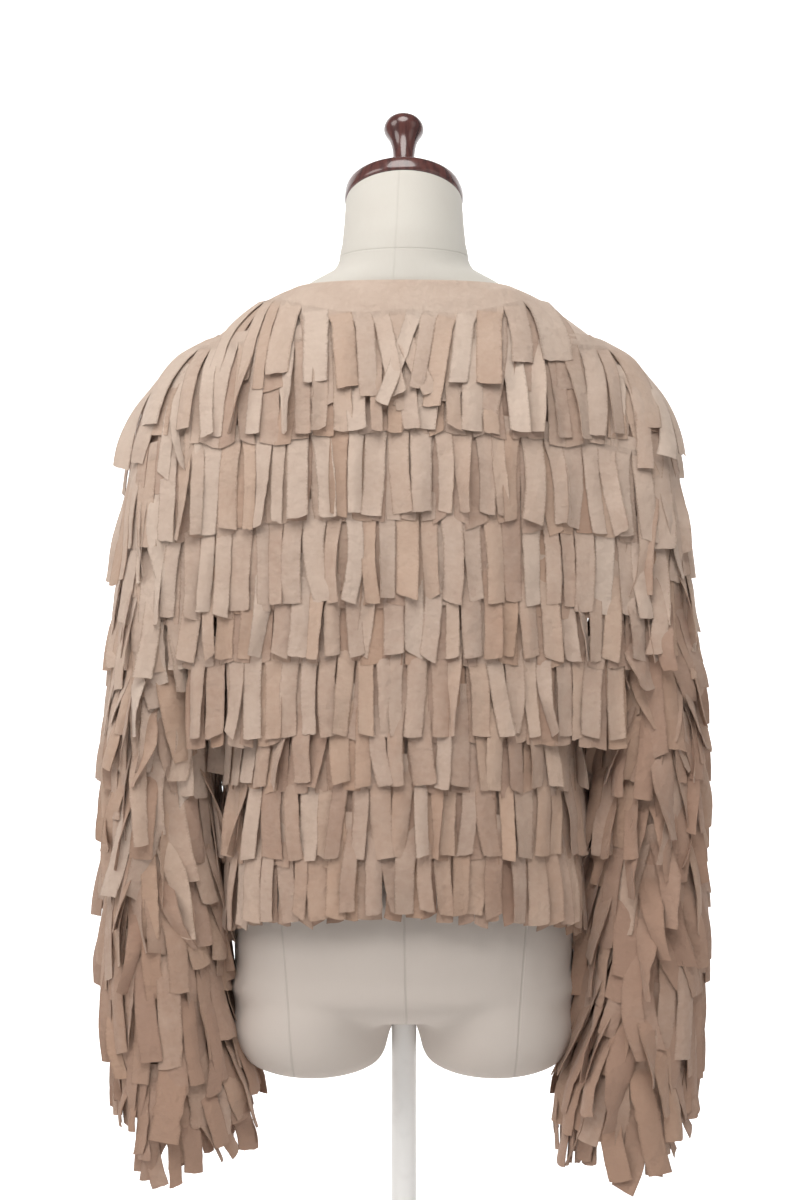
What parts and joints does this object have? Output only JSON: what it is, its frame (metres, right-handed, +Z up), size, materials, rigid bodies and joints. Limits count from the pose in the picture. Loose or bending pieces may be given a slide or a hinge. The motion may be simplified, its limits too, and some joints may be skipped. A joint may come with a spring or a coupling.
{
  "type": "fringed jacket on a dress form",
  "caption": "Cropped collarless jacket with drop shoulders, covered in rows of cut cloth fringe, worn by a limbless linen dress form on a round stand.",
  "frame": {"origin": "on the floor, under the middle of the stand's base", "axes": "+Z up along the pole, the jacket's front faces -Y, +X to the wearer's left"},
  "size_m": [0.6082, 0.33, 1.1877],
  "materials": {
    "jacket_cloth": "soft woven suedette, pinkish tan, plain matt",
    "fringe_cloth": "the same cloth cut in strips, with slightly frayed edges",
    "form_linen": "plain cream linen stretched smooth, with narrow seams",
    "dark_wood": "turned wood, red-brown stain, glossy varnish",
    "stand_enamel": "smooth off-white enamel"
  },
  "bodies": {
    "root": {"back": "jacket_cloth", "dress_form": "form_linen", "fringe_back_1": "fringe_cloth", "fringe_back_2": "fringe_cloth", "fringe_back_3": "fringe_cloth", "fringe_back_4": "fringe_cloth", "fringe_back_5": "fringe_cloth", "fringe_back_6": "fringe_cloth", "fringe_back_7": "fringe_cloth", "fringe_back_8": "fringe_cloth", "fringe_collar": "fringe_cloth", "fringe_front_left_1": "fringe_cloth", "fringe_front_left_2": "fringe_cloth", "fringe_front_left_3": "fringe_cloth", "fringe_front_left_4": "fringe_cloth", "fringe_front_left_5": "fringe_cloth", "fringe_front_left_6": "fringe_cloth", "fringe_front_left_7": "fringe_cloth", "fringe_front_right_1": "fringe_cloth", "fringe_front_right_2": "fringe_cloth", "fringe_front_right_3": "fringe_cloth", "fringe_front_right_4": "fringe_cloth", "fringe_front_right_5": "fringe_cloth", "fringe_front_right_6": "fringe_cloth", "fringe_front_right_7": "fringe_cloth", "fringe_sleeve_left_1": "fringe_cloth", "fringe_sleeve_left_2": "fringe_cloth", "fringe_sleeve_left_3": "fringe_cloth", "fringe_sleeve_left_4": "fringe_cloth", "fringe_sleeve_left_5": "fringe_cloth", "fringe_sleeve_left_6": "fringe_cloth", "fringe_sleeve_left_7": "fringe_cloth", "fringe_sleeve_left_8": "fringe_cloth", "fringe_sleeve_right_1": "fringe_cloth", "fringe_sleeve_right_2": "fringe_cloth", "fringe_sleeve_right_3": "fringe_cloth", "fringe_sleeve_right_4": "fringe_cloth", "fringe_sleeve_right_5": "fringe_cloth", "fringe_sleeve_right_6": "fringe_cloth", "fringe_sleeve_right_7": "fringe_cloth", "fringe_sleeve_right_8": "fringe_cloth", "front_left": "jacket_cloth", "front_right": "jacket_cloth", "neck_cap": "dark_wood", "neck_knob": "dark_wood", "sleeve_left": "jacket_cloth", "sleeve_right": "jacket_cloth", "stand_base": "stand_enamel", "stand_pole": "stand_enamel"}
  },
  "joints": []
}
